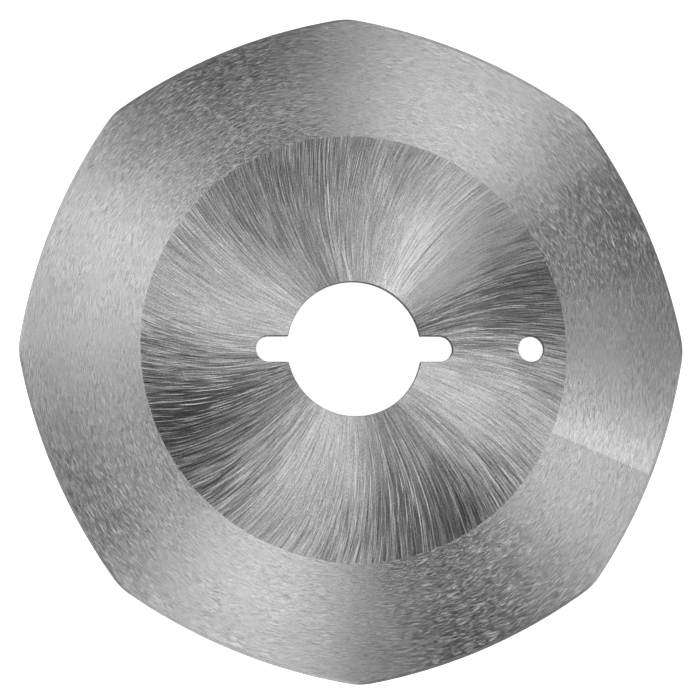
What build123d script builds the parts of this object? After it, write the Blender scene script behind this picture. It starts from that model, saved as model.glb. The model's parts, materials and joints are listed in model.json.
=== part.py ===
from build123d import *
from math import cos, radians, tan
import os

# An eight-lobed circular knife for a hand-held round-knife cloth cutter, in millimetres.
# It is one plate of hardened steel. The origin is the centre of the bore on the flat back face,
# +Z points out of the ground front face, and +X points from the bore towards the pin hole.

# The outline has shallow convex sides that meet in rounded tips, with one tip on +X.
lobes = 8
tip_diameter = 90.0
side_relief = 1.27  # how far the middle of each side lies inside the circle through the tips
tip_rounding = 8.5

# The back is flat. On the front a wide conical bevel thins the plate from its flat middle to the rim,
# and a narrow honed facet that follows the outline makes the cutting edge.
plate_thickness = 1.0
bevel_width = 16.15  # radial, measured in from the tips
rim_thickness = 0.22  # of the bevelled plate at the tips, before it is honed
hone_angle = 30.0  # between the honed facet and the back face
edge_land = 0.05  # what is left of the thickness at the very edge

# The arbor bore has two opposite driving slots with full-round ends, and a pin hole stands beside it.
bore_diameter = 18.2
slot_length = 26.65  # over both rounded ends
slot_width = 3.5
pin_hole_diameter = 3.5
pin_hole_distance = 24.03  # from the axis of the bore
hole_break = 0.06  # the small chamfer round both ends of every hole

# Each side is an arc whose centre lies beyond the bore. Its offset and radius follow from the tip arcs,
# which it has to meet without a corner.
tip_radius = tip_diameter / 2
lobe_angle = 360 / lobes
rounding_centre = tip_radius - tip_rounding
side_inset = rounding_centre - side_relief
lean = rounding_centre * cos(radians(lobe_angle / 2))
side_offset = (rounding_centre**2 - side_inset**2) / (2 * (side_inset - lean))
side_radius = tip_radius - side_relief + side_offset

# The honed wall is carried up past the front face, and the turned section out past the tips.
hone_inset = plate_thickness / tan(radians(hone_angle))
turning_margin = 1.0
turned_radius = tip_radius + turning_margin
bevel_slope = (plate_thickness - rim_thickness) / bevel_width

with BuildPart() as blade:
    # The lobed outline: upright up to the land, then leaning in at the honing angle
    with BuildSketch() as outline:
        Circle(turned_radius)
        for side in range(lobes):
            with PolarLocations(side_offset, 1, start_angle=(side + 0.5) * lobe_angle + 180):
                Circle(side_radius, mode=Mode.INTERSECT)
        fillet(outline.vertices(), radius=tip_rounding)
    extrude(amount=edge_land)
    with BuildSketch(Plane.XY.offset(edge_land)):
        add(outline.sketch)
    with BuildSketch(Plane.XY.offset(edge_land + plate_thickness)):
        add(outline.sketch)
        offset(amount=-hone_inset, mode=Mode.REPLACE)
    loft(ruled=True)

    # The turned section: flat middle, then the conical bevel out to the thin rim
    with BuildSketch(Plane.XZ):
        with BuildLine():
            Polyline(
                (0, 0),
                (turned_radius, 0),
                (turned_radius, rim_thickness - turning_margin * bevel_slope),
                (tip_radius - bevel_width, plate_thickness),
                (0, plate_thickness),
                close=True,
            )
        make_face()
    revolve(axis=Axis.Z, mode=Mode.INTERSECT)

    # The bore with its driving slots, and the pin hole
    with BuildSketch() as openings:
        Circle(bore_diameter / 2)
        SlotOverall(slot_length, slot_width)
        with Locations((pin_hole_distance, 0)):
            Circle(pin_hole_diameter / 2)
    extrude(amount=plate_thickness, mode=Mode.SUBTRACT)
    flats = blade.faces().filter_by(Axis.Z)
    holes = [hole for flat in flats for hole in flat.inner_wires()]
    chamfer([rim for hole in holes for rim in hole.edges()], length=hole_break)

blade.part.label = "blade"

os.makedirs("parts", exist_ok=True)
export_step(blade.part, "parts/blade.step")
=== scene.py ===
import bpy
import json
from math import asin, atan2, cos, e, pi, radians, sin, tan
from mathutils import Matrix, Vector


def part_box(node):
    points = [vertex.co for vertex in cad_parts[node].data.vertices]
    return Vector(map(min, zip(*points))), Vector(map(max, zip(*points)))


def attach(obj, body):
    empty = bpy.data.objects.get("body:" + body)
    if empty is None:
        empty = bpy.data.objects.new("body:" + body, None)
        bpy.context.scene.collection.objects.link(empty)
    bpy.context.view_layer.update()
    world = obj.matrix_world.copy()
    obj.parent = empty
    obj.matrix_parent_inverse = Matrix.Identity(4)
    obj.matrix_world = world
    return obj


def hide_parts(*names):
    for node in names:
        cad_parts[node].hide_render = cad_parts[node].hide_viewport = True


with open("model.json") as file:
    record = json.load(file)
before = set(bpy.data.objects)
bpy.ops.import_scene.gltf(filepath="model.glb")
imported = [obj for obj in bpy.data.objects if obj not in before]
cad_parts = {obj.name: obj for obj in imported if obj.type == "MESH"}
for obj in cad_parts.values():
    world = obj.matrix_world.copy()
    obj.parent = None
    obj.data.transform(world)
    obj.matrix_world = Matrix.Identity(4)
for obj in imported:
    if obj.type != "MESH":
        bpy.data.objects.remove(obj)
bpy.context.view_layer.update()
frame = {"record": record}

# The blade's plate: hardened steel, stamped to its lobed outline with the bore, two driving slots and a pin
# hole. The front is ground to a wide bevel that thins it outwards, and a narrow facet is honed along the
# edge. It is drawn as it is made: the outline is raised at the honing angle, turned, and then pierced.
mm = 0.001
up = Vector((0, 0, 1))
mounts = {mount["name"]: mount for mount in frame["record"]["mounts"]}
tip_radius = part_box("blade")[1].x
plate_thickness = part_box("blade")[1].z
lobes = 8
tip_rounding = 8.5 * mm
side_relief = 1.27 * mm  # how far the middle of each side lies inside the circle through the tips
ring_radius = 28.85 * mm  # where the flat middle ends and the bevel begins
rim_thickness = 0.22 * mm
hone_angle = radians(30)
edge_land = 0.05 * mm
bore_radius = mounts["bore"]["dims"]["r_mm"] * mm
slot_end = 13.325 * mm
slot_radius = 1.75 * mm
pin_hole_radius = mounts["pin_hole"]["dims"]["r_mm"] * mm
pin_hole_place = Vector(mounts["pin_hole"]["pos_m"])
hole_break = 0.06 * mm  # the small chamfer round both ends of every hole

tip_steps = 24  # straight pieces in half a tip and in half a side
side_steps = 24
turned_steps = 720
hole_steps = 320
merge_distance = 1e-7
sliver = 4e-6
margin = 1 * mm  # how far a cutting tool stands out past what it cuts
top_normal = 0.9  # a top face's normal points up by more than this
square_corner = radians(85)
smooth_corner = radians(1.5)

half_lobe = pi / lobes
rounding_centre = Vector((tip_radius - tip_rounding, 0, 0))
side_inset = rounding_centre.x - side_relief
side_reach = rounding_centre.x * cos(half_lobe)
side_offset = (rounding_centre.x**2 - side_inset**2) / (2 * (side_inset - side_reach))
side_centre = -side_offset * Vector((cos(half_lobe), sin(half_lobe), 0))
toward_tip = rounding_centre - side_centre
tip_sweep = atan2(toward_tip.y, toward_tip.x)


def start_drawing(at):
    """Opens a new drawing on the back face's level, with one point."""
    bpy.ops.object.select_all(action="DESELECT")
    bpy.ops.mesh.primitive_plane_add(size=tip_radius, location=at)
    bpy.ops.object.transform_apply(location=True)
    bpy.ops.object.mode_set(mode="EDIT")
    bpy.ops.mesh.select_mode(type="VERT")
    bpy.ops.mesh.select_all(action="SELECT")
    bpy.ops.mesh.merge(type="CENTER")
    return bpy.context.object


def draw_arc(centre, sweep, steps):
    """Carries the drawing on from its last point, anticlockwise as seen from the front."""
    bpy.ops.mesh.spin(steps=steps, angle=sweep, center=centre, axis=-up)


def mirror_drawing(way):
    """Copies what lies on the positive side of an axis to its other side."""
    bpy.ops.mesh.select_all(action="SELECT")
    bpy.ops.mesh.symmetrize(direction=way, threshold=merge_distance)
    bpy.ops.mesh.select_all(action="SELECT")


def raise_drawing(height):
    """Closes the drawing and makes a straight-walled solid of it."""
    bpy.ops.mesh.select_all(action="SELECT")
    bpy.ops.mesh.remove_doubles(threshold=merge_distance)
    bpy.ops.mesh.edge_face_add()
    bpy.ops.mesh.extrude_region_move(TRANSFORM_OT_translate={"value": height * up})
    bpy.ops.mesh.select_all(action="SELECT")
    bpy.ops.mesh.normals_make_consistent(inside=False)
    bpy.ops.object.mode_set(mode="OBJECT")


def lean_in(solid, inset, rise):
    """Raises the top face and draws it in, so that a leaning wall comes up round it."""
    bpy.ops.object.mode_set(mode="EDIT")
    bpy.ops.mesh.select_mode(type="FACE")
    bpy.ops.mesh.select_all(action="DESELECT")
    bpy.ops.object.mode_set(mode="OBJECT")
    for face in solid.data.polygons:
        face.select = face.normal.z > top_normal
    bpy.ops.object.mode_set(mode="EDIT")
    bpy.ops.mesh.inset(thickness=inset, depth=rise)
    bpy.ops.object.mode_set(mode="OBJECT")


def cut(piece, tool, operation):
    """Cuts the piece with a tool, which is used up."""
    bpy.ops.object.select_all(action="DESELECT")
    bpy.context.view_layer.objects.active = piece
    bpy.ops.object.modifier_add(type="BOOLEAN")
    modifier = piece.modifiers[-1]
    modifier.operation = operation
    modifier.solver = "EXACT"
    modifier.object = tool
    bpy.ops.object.modifier_apply(modifier=modifier.name)
    bpy.data.objects.remove(tool)


# Half a lobe is drawn from its tip, mirrored and repeated round the axis
blade = start_drawing(at=(tip_radius, 0, 0))
blade.name = blade.data.name = "lobed_blade"
draw_arc(rounding_centre, tip_sweep, tip_steps)
draw_arc(side_centre, half_lobe - tip_sweep, side_steps)
mirror_drawing("POSITIVE_Y")
others = lobes - 1
bpy.ops.mesh.spin(steps=others, angle=2 * others * half_lobe, dupli=True, center=(0, 0, 0), axis=-up)
raise_drawing(edge_land)
hone_rise = plate_thickness + margin
lean_in(blade, hone_rise / tan(hone_angle), hone_rise)

# The turned blank: an upright rim, the cone of the bevel, and the flat middle
turned_radius = tip_radius + margin
bevel_slope = (plate_thickness - rim_thickness) / (tip_radius - ring_radius)
turned_rim = rim_thickness - margin * bevel_slope
blank_middle = (turned_rim - margin) / 2 * up
bpy.ops.object.select_all(action="DESELECT")
bpy.ops.mesh.primitive_cylinder_add(
    vertices=turned_steps, radius=turned_radius, depth=turned_rim + margin, location=blank_middle
)
blank = bpy.context.object
bpy.ops.object.transform_apply(location=True)
lean_in(blank, turned_radius - ring_radius, plate_thickness - turned_rim)
cut(blade, blank, "INTERSECT")

# A quarter of the bore with its driving slots is drawn from the end of a slot and mirrored twice
slot_centre = Vector((slot_end - slot_radius, 0, 0))
slot_mouth = asin(slot_radius / bore_radius)
slot_side = Vector((bore_radius * cos(slot_mouth) - slot_centre.x, 0, 0))
bore_tool = start_drawing(at=(slot_end, 0, 0))
draw_arc(slot_centre, pi / 2, hole_steps // 4)
bpy.ops.mesh.extrude_region_move(TRANSFORM_OT_translate={"value": slot_side})
draw_arc((0, 0, 0), pi / 2 - slot_mouth, hole_steps // 4)
mirror_drawing("POSITIVE_X")
mirror_drawing("POSITIVE_Y")
bpy.ops.transform.translate(value=-margin * up)
raise_drawing(plate_thickness + 2 * margin)
cut(blade, bore_tool, "DIFFERENCE")

bpy.ops.object.select_all(action="DESELECT")
bpy.ops.mesh.primitive_cylinder_add(
    vertices=hole_steps, radius=pin_hole_radius, depth=plate_thickness + 2 * margin, location=pin_hole_place
)
cut(blade, bpy.context.object, "DIFFERENCE")

# The rims of the holes are the square edges inside the ring, and they get their small chamfer
bpy.ops.object.mode_set(mode="EDIT")
bpy.ops.mesh.select_mode(type="VERT")
bpy.ops.mesh.select_all(action="SELECT")
bpy.ops.mesh.remove_doubles(threshold=sliver)
bpy.ops.mesh.select_mode(type="EDGE")
bpy.ops.mesh.select_all(action="DESELECT")
bpy.ops.mesh.edges_select_sharp(sharpness=square_corner)
bpy.ops.object.mode_set(mode="OBJECT")
corners = blade.data.vertices
for edge in blade.data.edges:
    start, end = (corners[index].co.xy.length for index in edge.vertices)
    edge.select = edge.select and max(start, end) < ring_radius
bpy.ops.object.mode_set(mode="EDIT")
bpy.ops.mesh.bevel(offset=hole_break, segments=1, clamp_overlap=False)
bpy.ops.object.mode_set(mode="OBJECT")
bpy.ops.object.select_all(action="DESELECT")
blade.select_set(True)
bpy.ops.object.shade_smooth_by_angle(angle=smooth_corner)

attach(blade, "root")
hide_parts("blade")


# The flat middle of the front, which the clamping washer bears on. It is bare steel, brushed outwards from
# the bore in long strokes that bend a little, so its sectors look bright or dark by where the light comes
# from, and one bright sector also has a painted highlight. Deeper single scratches run along and across
# them, and a short bright one stands above the bore.
radially = 0.0  # which way the scratches run, as a share of a turn
highest_colour = 0.95  # bare steel gives back no more of the light than this
scratch_depth = 0.02 * mm
noise_low = 0.3  # noise goes from 0 to 1, and seldom leaves the stretch between these two
noise_high = 0.7
streak_roughness = 0.65
layer_step = 40.0  # layers of streaks are read this far apart, so that no two are alike
cell_spread = 0.7  # how much of its cell a single scratch may stand in
fade_in = 1.5  # the ends of a single scratch, in millimetres
fade_out = 3.0
faintest = 0.35
strongest = 1.25

drag_azimuth = radians(92)  # the short bright scratch above the bore
drag_lean = 0.0178  # in radians to a millimetre outwards
left_leaning_azimuth = radians(54)  # where the strokes lean to one side more than elsewhere
right_leaning_azimuth = radians(264)
# The middle of the sector whose colour is painted brighter, as a painted highlight
painted_highlight_azimuth = radians(50)
bend_start = 15.0  # the strokes run straight out at this many millimetres from the axis
bend_rate = 0.0186
bend_wander = 0.05
crossing_bend = 0.05
mixed_turn = -0.02  # in radians, so that the layers of strokes don't line up
inner_turn = 0.3
nick_turn = 0.5
streaks_at_bore = 130  # to a radian
streaks_at_ring = 230
ring_layers = 20  # the layers at the ring come this many after those at the bore

middle_colour = 0.66
speckle_depth = 0.34
left_turn = 0.028  # how far the strokes and scratches turn aside, as shares of a turn
right_turn = -0.022
crossed_turn = -0.11
drag_turn = -0.045
lean_contrast = 0.05  # between strokes that lean to the left and to the right
stray_gain = 1.25
stray_roughness = 0.62
crossed_gain = 1.3
crossed_roughness = 0.38
crossed_grain = 0.95
drag_roughness = 0.42


class Field:
    """Something that varies over the steel, held as a node's output. Arithmetic on it adds Math nodes."""

    def __init__(self, tree, socket=None):
        self.tree = tree
        self.socket = socket

    def node(self, kind, settings=None, inputs=None, output=0):
        """Adds any node: its settings first, and then the values or links of its sockets."""
        made = self.tree.nodes.new("ShaderNode" + kind)
        for name, value in (settings or {}).items():
            setattr(made, name, value)
        for name, value in (inputs or {}).items():
            if isinstance(value, Field):
                self.tree.links.new(value.socket, made.inputs[name])
            else:
                made.inputs[name].default_value = value
        return Field(self.tree, made.outputs[output] if made.outputs else None)

    def maths(self, operation, *values):
        return self.node("Math", {"operation": operation}, dict(enumerate(values)))

    def __add__(self, other):
        return self.maths("ADD", self, other)

    def __sub__(self, other):
        return self.maths("SUBTRACT", self, other)

    def __rsub__(self, other):
        return self.maths("SUBTRACT", other, self)

    def __mul__(self, other):
        return self.maths("MULTIPLY", self, other)

    def __truediv__(self, other):
        return self.maths("DIVIDE", self, other)

    __radd__ = __add__
    __rmul__ = __mul__

    def log(self):
        return self.maths("LOGARITHM", self, e)

    def size(self):
        return self.maths("ABSOLUTE", self)

    def ramp(self, low, high, start=0.0, end=1.0):
        """From start to end as this goes from low to high, and level beyond them."""
        settings = {"interpolation_type": "SMOOTHSTEP"}
        ends = {"From Min": low, "From Max": high, "To Min": start, "To Max": end}
        return self.node("MapRange", settings, {"Value": self, **ends})

    def between(self, start, end):
        """From start to end as noise goes from its usual low to its usual high."""
        return self.ramp(noise_low, noise_high, start, end)


def steel_surface(name):
    """A new material, with the place on the blade in millimetres from the axis, and how far out that is."""
    material = bpy.data.materials.new(name)
    material.use_nodes = True
    material.node_tree.nodes.clear()
    here = Field(material.node_tree)
    place = here.node("TexCoord", output="Object")
    place = here.node("VectorMath", {"operation": "SCALE"}, {0: place, "Scale": 1 / mm})
    flat = here.node("VectorMath", {"operation": "MULTIPLY"}, {0: place, 1: (1, 1, 0)})
    out = here.node("VectorMath", {"operation": "LENGTH"}, {0: flat}, "Value")
    way = here.node("VectorMath", {"operation": "NORMALIZE"}, {0: flat})
    return material, place, out, way


def scratched_steel(here, roughness, grain, turn, colour, normal=None):
    """Bare steel whose scratches run one way. grain is how strongly, and turn is their direction."""
    if isinstance(colour, Field):
        colour = colour.maths("MINIMUM", colour, highest_colour)
    else:
        colour = (colour, colour, colour, 1)
    inputs = {
        "Base Color": colour,
        "Metallic": 1.0,
        "Roughness": roughness,
        "Anisotropic": grain,
        "Anisotropic Rotation": turn,
    }
    if normal:
        inputs["Normal"] = normal
    return here.node("BsdfPrincipled", {}, inputs)


def blend(here, share, under, over):
    """Lays one finish over another by a share from 0 to 1."""
    return here.node("MixShader", {}, {0: share, 1: under, 2: over})


def scratch_normal(here, height):
    """The tilt that scratches give the steel where the light falls on them."""
    return here.node("Bump", {}, {"Strength": 1.0, "Distance": scratch_depth, "Height": height}, "Normal")


def speckles(place, per_millimetre, detail):
    """Even noise with so many spots to a millimetre."""
    inputs = {"Vector": place, "Scale": per_millimetre, "Detail": detail}
    return place.node("TexNoise", {}, inputs, "Fac")


def streaks(way, out, per_radian, per_millimetre, layer, detail=2.0):
    """Noise with so many streaks to a radian round the axis, and to a millimetre outwards."""
    across = way.node("VectorMath", {"operation": "SCALE"}, {0: way, "Scale": per_radian})
    along = way.node("CombineXYZ", {}, {"Z": out * per_millimetre + layer_step * layer})
    spot = way.node("VectorMath", {"operation": "ADD"}, {0: across, 1: along})
    inputs = {"Vector": spot, "Scale": 1.0, "Detail": detail, "Roughness": streak_roughness}
    return way.node("TexNoise", {}, inputs, "Fac")


def even_streaks(way, out, layer, per_millimetre):
    """Fine streaks as wide at the ring as at the bore: there are more of them to a radian further out."""
    near = streaks(way, out, streaks_at_bore, per_millimetre, layer, detail=0.0)
    far = streaks(way, out, streaks_at_ring, per_millimetre, layer + ring_layers, detail=0.0)
    return near + (far - near) * out.ramp(11, 24)


def turned(way, angle):
    """The direction from the axis, turned about it by an angle in radians."""
    return way.node("VectorRotate", {"rotation_type": "Z_AXIS"}, {"Vector": way, "Angle": angle})


def facing(way, azimuth):
    """The cosine of how far round the axis the place is from an azimuth."""
    aim = (cos(azimuth), sin(azimuth), 0)
    return way.node("VectorMath", {"operation": "DOT_PRODUCT"}, {0: way, 1: aim}, "Value")


def single_scratches(way, out, count, layer, width, chance, first, last, shortest, longest):
    """Long scratches, at most one to each of count cells round the axis, as a share from 0 to about 1.

    They begin between first and last millimetres from the axis, and chance is how many cells hold one.
    """
    across = way.node("SeparateXYZ", {}, {"Vector": way}, "Y")
    along = way.node("SeparateXYZ", {}, {"Vector": way}, "X")
    cells = across.maths("ARCTAN2", across, along) * (count / (2 * pi))
    cell = cells.maths("FLOOR", cells)
    number = cell.maths("FLOORED_MODULO", cell, count)
    spot = number.node("CombineXYZ", {}, {"X": number, "Y": layer})
    dice = spot.node("TexWhiteNoise", {"noise_dimensions": "2D"}, {"Vector": spot}, "Color")
    luck = spot.node("TexWhiteNoise", {"noise_dimensions": "2D"}, {"Vector": spot}, "Value")
    place_in_cell = dice.node("SeparateColor", {}, {"Color": dice}, "Red")
    start = dice.node("SeparateColor", {}, {"Color": dice}, "Green")
    length = dice.node("SeparateColor", {}, {"Color": dice}, "Blue")

    centre_line = cell + 0.5 + (place_in_cell - 0.5) * cell_spread
    aside = (cells - centre_line).size() * out * (2 * pi / count)
    begin = start * (last - first) + first
    end = begin + length * (longest - shortest) + shortest
    line = aside.ramp(0.0, width, 1.0, 0.0)
    line = line * (out - begin).ramp(0.0, fade_in) * (out - end).ramp(-fade_out, 0.0, 1.0, 0.0)
    return line * luck.ramp(0.0, chance, faintest, strongest) * luck.maths("LESS_THAN", luck, chance)


middle, place, out, way = steel_surface("brushed_middle")

beside_drag = (facing(way, drag_azimuth + pi / 2) - drag_lean * (out - bore_radius / mm)) * out
drag = beside_drag.size().ramp(0.05, 0.16, 1.0, 0.0)
drag = drag * out.ramp(12.5, 14, 1.0, 0.0) * facing(way, drag_azimuth).ramp(0.0, 0.2)

# How far the strokes lean to one side, before their own direction bends
near_bore = out.ramp(12, 22, 1.0, 0.0)
one_sided = facing(way, left_leaning_azimuth).ramp(0.86, 0.97, 0.0, 0.18)
one_sided = one_sided - near_bore * facing(way, right_leaning_azimuth).ramp(0.92, 1.0, 0.0, 0.16)

# The strokes bend with the distance from the bore, and finer ones cross them
bend = bend_rate * (out - bend_start - bend_start * (out / bend_start).log())
wander = streaks(way, out, per_radian=2.5, per_millimetre=0.05, layer=7, detail=1.0)
way = turned(way, bend + bend_wander * wander)
crossing = turned(way, crossing_bend * (out / bend_start).log())

# The strokes, from broad to fine
wedges = streaks(way, out, per_radian=7, per_millimetre=0.03, layer=9, detail=1.0)
fans = streaks(way, out, per_radian=12, per_millimetre=0.06, layer=3)
grain = even_streaks(way, out, layer=1, per_millimetre=0.14)
hair = even_streaks(crossing, out, layer=5, per_millimetre=0.20)
mixed = even_streaks(turned(way, mixed_turn), out, layer=4, per_millimetre=0.20)
speckle = speckles(place, per_millimetre=6.5, detail=0.0)

# The single scratches, which are fainter towards the ring
lines = single_scratches(
    way, out, count=420, layer=1, width=0.085, chance=0.25, first=8, last=24, shortest=5, longest=18
)
crossing_lines = single_scratches(
    crossing, out, count=640, layer=2, width=0.075, chance=0.26, first=8, last=26, shortest=4, longest=14
)
inner_way = turned(way, inner_turn)
inner_lines = single_scratches(
    inner_way, out, count=260, layer=3, width=0.08, chance=0.50, first=7, last=12, shortest=4, longest=16
)
nick_way = turned(crossing, nick_turn)
nicks = streaks(nick_way, out, per_radian=200, per_millimetre=0.22, layer=6, detail=1.0)
nicks = nicks.ramp(0.59, 0.71, 0.0, 0.9)
for more in (crossing_lines, inner_lines, nicks):
    lines = lines.maths("MAXIMUM", lines, more)
lines = lines * out.ramp(19, 28, 1.0, 0.55)

# How much of the steel strays from the strokes, which way the rest of it leans, and how bright it is.
# The colour is painted brighter in one sector, as a painted highlight.
share = out.ramp(10, 24, 0.17, 0.01) * grain.ramp(0.34, 0.70, 0.3, 1.7)
share = share.maths("MINIMUM", share, 1.0)
lean = (fans * 0.25 + mixed * 0.75 - one_sided).ramp(0.40, 0.60)
hair_depth = out.ramp(12, 26, 0.32, 0.52)
shade = hair_depth * (hair.between(0.0, 1.0) - 0.5) + speckle_depth * (speckle.ramp(0.25, 0.75) - 0.5)
shade = (1.0 + shade) * wedges.between(0.94, 1.06) * out.ramp(16, 28, 1.04, 0.94)
# One sector's colour is painted brighter here, as a painted highlight
tone = middle_colour * shade * facing(way, painted_highlight_azimuth).ramp(0.9, 0.99, 1.0, 1.25)
normal = scratch_normal(place, grain + hair + 0.5 * lines)
roughness = out.ramp(12, 26, 0.36, 0.29)

lighter = tone * (1 + lean_contrast)
darker = tone * (1 - lean_contrast)
leaning_left = scratched_steel(place, roughness, 1.0, radially + left_turn, lighter, normal)
leaning_right = scratched_steel(place, roughness, 1.0, radially + right_turn, darker, normal)
brushed = blend(place, lean, leaning_left, leaning_right)
stray = scratched_steel(place, stray_roughness, 0.0, radially, tone * stray_gain, normal)
crossed_way = radially + crossed_turn
crossed = scratched_steel(place, crossed_roughness, crossed_grain, crossed_way, tone * crossed_gain, normal)
dragged = scratched_steel(place, drag_roughness, 1.0, radially + drag_turn, highest_colour)
surface = blend(place, lines, blend(place, share, brushed, stray), crossed)
place.node("OutputMaterial", {}, {"Surface": blend(place, drag, surface, dragged)})

# The bevel: the wide cone that thins the plate from the ring to the rim. It is bare steel, ground with the
# blade turning, so its scratches are short dashes round the axis that slant a little one way or the other.
# The line where the wheel went on and off stays as a seam with a bright side and a dim one.
roundabout = 0.25  # as a share of a turn
bevel_colour = 0.62
bevel_slant = 1.2  # how far the rows of dashes stray outwards, in millimetres
ragged_slant = 0.5
dashes_round = 32  # to a radian
fine_dashes_round = 34
ragged_dashes_round = 36
dashes_outwards = 14.0  # to a millimetre
dash_depth = 0.50
grit_depth = 0.12
dull_azimuth = radians(150)
seam_azimuth = radians(-23)
seam_width = 0.003
seam_brightness = 0.28
seam_dimness = 0.08
slant_turn = 0.015
slant_contrast = 0.06
ground_stray_gain = 1.2
ragged_turn = 0.11
ragged_gain = 1.35
ragged_roughness = 0.43
ragged_grain = 0.90

bevel, place, out, way = steel_surface("ground_bevel")
slant = streaks(way, out, per_radian=3.0, per_millimetre=0.10, layer=8, detail=1.0)
rising = out + bevel_slant * slant
falling = out - bevel_slant * slant
drifting = out - ragged_slant * slant
dashes = streaks(way, rising, dashes_round, dashes_outwards, layer=1, detail=1.0)
fine = streaks(way, rising, fine_dashes_round, dashes_outwards, layer=2, detail=1.0)
other = streaks(way, falling, dashes_round, dashes_outwards, layer=5, detail=1.0)
ragged = streaks(way, drifting, ragged_dashes_round, dashes_outwards, layer=6, detail=1.0)
blotch = streaks(way, out, per_radian=5, per_millimetre=0.30, layer=2)
patches = streaks(way, out, per_radian=9, per_millimetre=0.35, layer=9, detail=1.0)
patches = patches.ramp(0.35, 0.65, 0.6, 1.4)
grit = speckles(place, per_millimetre=5.0, detail=1.0)

# The seam's two sides, each of which fades with the distance from it
past_seam = facing(way, seam_azimuth + pi / 2)
after_seam = past_seam.ramp(-seam_width, seam_width)
on_seam_side = facing(way, seam_azimuth).ramp(0.0, 0.2)
bright_side = after_seam * past_seam.ramp(0.0, 0.18, 1.0, 0.0) * on_seam_side
dim_side = (1.0 - after_seam) * past_seam.ramp(-0.3, 0.0) * on_seam_side

# How much of the steel strays from the dashes, which way the rest of it slants, and how bright it is
dull_side = facing(way, dull_azimuth).ramp(-0.7, 0.7, 0.5, 1.9)
share = dull_side * out.ramp(32, 42, 0.16, 0.05) * dashes.ramp(0.38, 0.74, 0.2, 1.8)
lean = (blotch * 0.12 + other * 0.88).between(0.0, 1.0)
shade = dash_depth * (fine.between(0.0, 1.0) - 0.5) + grit_depth * (grit.ramp(0.25, 0.75) - 0.5)
shade = (1.0 + patches * shade) * (1.0 + seam_brightness * bright_side - seam_dimness * dim_side)
tone = bevel_colour * out.ramp(34, 42, 1.14, 1.04) * shade
normal = scratch_normal(place, dashes + fine)
roughness = out.ramp(30, 42, 0.40, 0.34)

lighter = tone * (1 + slant_contrast)
darker = tone * (1 - slant_contrast)
leaning_left = scratched_steel(place, roughness, 1.0, roundabout + slant_turn, lighter, normal)
leaning_right = scratched_steel(place, roughness, 1.0, roundabout - slant_turn, darker, normal)
ground = blend(place, lean, leaning_left, leaning_right)
stray = scratched_steel(place, stray_roughness, 0.0, radially, tone * ground_stray_gain, normal)
ragged_way = roundabout + ragged_turn
crossed = scratched_steel(place, ragged_roughness, ragged_grain, ragged_way, tone * ragged_gain, normal)
surface = blend(place, share, ground, stray)
surface = blend(place, ragged.ramp(0.52, 0.66, 0.0, 0.75), surface, crossed)
place.node("OutputMaterial", {}, {"Surface": surface})

# The honed edge: the narrow facet along the outline, with the land that is left at its foot. It is bare
# steel, drawn along a fine stone after the bevel is ground, and some of its scratches follow the edge. Its
# colour is painted darker, as painted shade for the dark line that the edge shows.
# Darker than the bevel: painted shade along the edge
honed_colour_and_shade = 0.40
honed_roughness = 0.40
honed_along = 0.4  # the share of the scratches that follow the edge

honed, place, out, way = steel_surface("honed_edge")
grain = streaks(way, out, per_radian=60, per_millimetre=9.0, layer=1)
tone = honed_colour_and_shade * grain.between(0.75, 1.25)
stray = scratched_steel(place, grain.between(0.45, 0.55), 0.0, radially, tone)
along_edge = scratched_steel(place, honed_roughness, 1.0, roundabout, tone)
place.node("OutputMaterial", {}, {"Surface": blend(place, honed_along, stray, along_edge)})

# The walls of the bore, the driving slots and the pin hole, with their small chamfers. They are left as
# they were stamped and hardened: matt steel that is a little rubbed where the hub slides in. They are
# painted nearly black, partly for the stamped steel's own darker tone and partly as painted shade for the
# shadowed floor that the walls reflect.
# Nearly black: the stamped steel's own darker tone, with painted shade on top
wall_colour_and_shade = 0.06

pierced, place, out, way = steel_surface("pierced_walls")
rubbed = speckles(place, per_millimetre=3.0, detail=3.0)
tone = wall_colour_and_shade * rubbed.between(0.7, 1.3)
surface = scratched_steel(place, rubbed.between(0.45, 0.6), 0.0, radially, tone)
place.node("OutputMaterial", {}, {"Surface": surface})

# The back: the flat face that slides on the fixed lower blade. It is bare steel, ground on a turning table
# to an even finish, with fine scratches round the axis.
back_colour = 0.58
back_grain = 0.9

back, place, out, way = steel_surface("ground_back")
dashes = streaks(way, out, per_radian=30, per_millimetre=9.0, layer=1)
blotch = streaks(way, out, per_radian=4, per_millimetre=0.2, layer=2)
tone = back_colour * dashes.between(0.78, 1.22) * blotch.between(0.92, 1.08)
normal = scratch_normal(place, dashes)
surface = scratched_steel(place, dashes.between(0.36, 0.44), back_grain, roundabout, tone, normal)
place.node("OutputMaterial", {}, {"Surface": surface})

# Each face of the plate gets the finish of the tool that made it, by how far up it faces
level_normal = 0.99999  # the bevel's cone leans away from the flat middle by nearly 3 degrees
bevel_normal = 0.99
finishes = [middle, bevel, honed, pierced, back]
for finish in finishes:
    blade.data.materials.append(finish)
for face in blade.data.polygons:
    if face.normal.z > level_normal:
        finish = middle
    elif face.normal.z > bevel_normal:
        finish = bevel
    elif face.normal.z < -bevel_normal:
        finish = back
    elif face.center.xy.length > ring_radius:
        finish = honed
    else:
        finish = pierced
    face.material_index = finishes.index(finish)

# The floor: a wide sheet of white paper that the blade lies on. It takes the blade's shadow, and it glows a
# little of itself where the camera or the steel sees it, so that it is white all the way back.
floor_radius = 3.0
floor_steps = 128
floor_drop = 0.02 * mm
paper_colour = 0.9
paper_glow = 0.65

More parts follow.
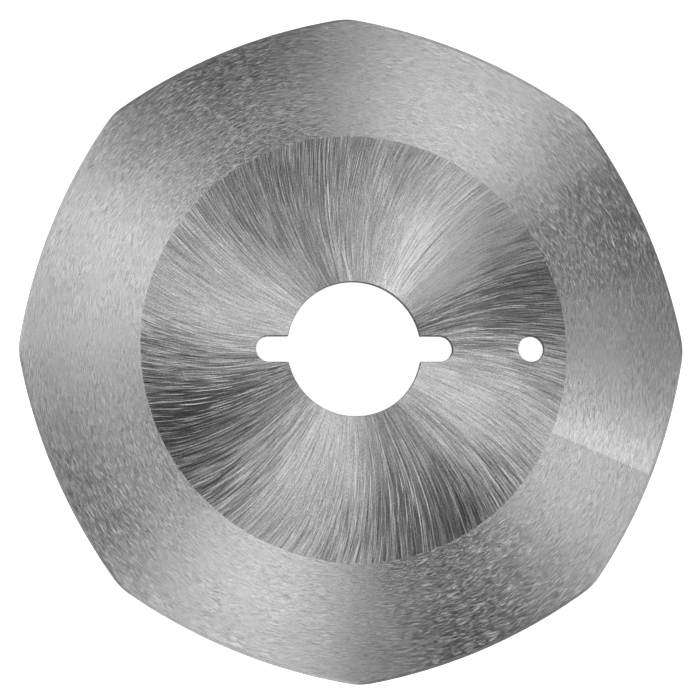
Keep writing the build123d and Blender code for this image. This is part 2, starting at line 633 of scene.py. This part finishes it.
bpy.ops.object.select_all(action="DESELECT")
bpy.ops.mesh.primitive_circle_add(
    vertices=floor_steps, radius=floor_radius, fill_type="NGON", location=-floor_drop * up
)
floor = bpy.context.object
floor.name = "floor"
bpy.ops.object.transform_apply(location=True)
paper = bpy.data.materials.new("pale_paper")
paper.use_nodes = True
paper.node_tree.nodes.clear()
sheet = Field(paper.node_tree)
matt = sheet.node("BsdfDiffuse", {}, {"Color": (paper_colour, paper_colour, paper_colour, 1)})
seen = sheet.node("LightPath", output="Is Camera Ray")
for other_ray in ("Is Glossy Ray", "Is Transmission Ray"):
    seen = seen + sheet.node("LightPath", output=other_ray)
glow = sheet.node("Emission", {}, {"Color": (1, 1, 1, 1), "Strength": seen * paper_glow})
sheet.node("OutputMaterial", {}, {"Surface": sheet.node("AddShader", {}, {0: matt, 1: glow})})
floor.data.materials.append(paper)

# The room: a dim studio whose walls are brighter near the floor than overhead. Its light fills in what the
# lamps leave dark in the steel.
wall_light = 0.4
ceiling_light = 0.04
wall_top = 0.25  # as the upward part of the direction

world = bpy.data.worlds.new("studio")
bpy.context.scene.world = world
world.use_nodes = True
world.node_tree.nodes.clear()
room = Field(world.node_tree)
aim = room.node("TexCoord", output="Generated")
upward = room.node("SeparateXYZ", {}, {0: aim}, "Z")
light = upward.ramp(0.0, wall_top, wall_light, ceiling_light)
backdrop = room.node("Background", {}, {"Color": (1, 1, 1, 1), "Strength": light})
room.node("OutputWorld", {}, {"Surface": backdrop})

# The lamps: five tall soft boxes on stands round the table, each turned to the middle of the blade. Each
# lights the sectors of the brushed middle and of the ground bevel whose scratches lie across its light.
lamp_distance = 0.9
lamps = [  # azimuth and elevation in degrees, width and height in metres, and power in watts
    ("near_right", 60, 34, 0.45, 0.8, 1.8),
    ("left", 153, 37, 0.6, 1.25, 4.5),
    ("behind", 200, 36, 0.4, 0.8, 0.5),
    ("front", 256, 43, 0.5, 1.1, 3.5),
    ("far_right", 342, 34, 0.45, 0.8, 2.1),
]
for name, azimuth, elevation, width, height, power in lamps:
    flat = Vector((cos(radians(azimuth)), sin(radians(azimuth)), 0))
    toward = cos(radians(elevation)) * flat + sin(radians(elevation)) * up
    lamp = bpy.data.lights.new(name, "AREA")
    lamp.shape = "RECTANGLE"
    lamp.size = width
    lamp.size_y = height
    lamp.energy = power
    stand = bpy.data.objects.new(name, lamp)
    bpy.context.scene.collection.objects.link(stand)
    faced = toward.to_track_quat("Z", "Y").to_matrix().to_4x4()
    stand.matrix_world = Matrix.Translation(toward * lamp_distance) @ faced

# The camera: a long lens that looks down on the blade, a little from the left and from the near side, and
# is rolled by about a degree. Its focal length is worked out from the width of the picture in pixels.
camera_azimuth = radians(221.27)
camera_tilt = radians(11.78)
camera_roll = radians(-1.16)
camera_distance = 829 * mm
camera_target = Vector((-0.464, -0.036, 0)) * mm
focal_pixels = 6186
frame_pixels = 700
sensor_width = 36  # in millimetres
farthest_seen = 10

aside = Vector((cos(camera_azimuth), sin(camera_azimuth), 0))
back_to_camera = sin(camera_tilt) * aside + cos(camera_tilt) * up
frame_up = Vector((-sin(camera_roll), cos(camera_roll), 0))
frame_right = frame_up.cross(back_to_camera).normalized()
frame_up = back_to_camera.cross(frame_right)
turn = Matrix((frame_right, frame_up, back_to_camera)).transposed().to_4x4()
camera = bpy.data.objects.new("camera", bpy.data.cameras.new("camera"))
bpy.context.scene.collection.objects.link(camera)
camera.matrix_world = Matrix.Translation(camera_target + back_to_camera * camera_distance) @ turn
camera.data.sensor_width = sensor_width
camera.data.lens = focal_pixels * sensor_width / frame_pixels
camera.data.clip_end = farthest_seen
bpy.context.scene.camera = camera
bpy.context.scene.view_settings.view_transform = "Standard"
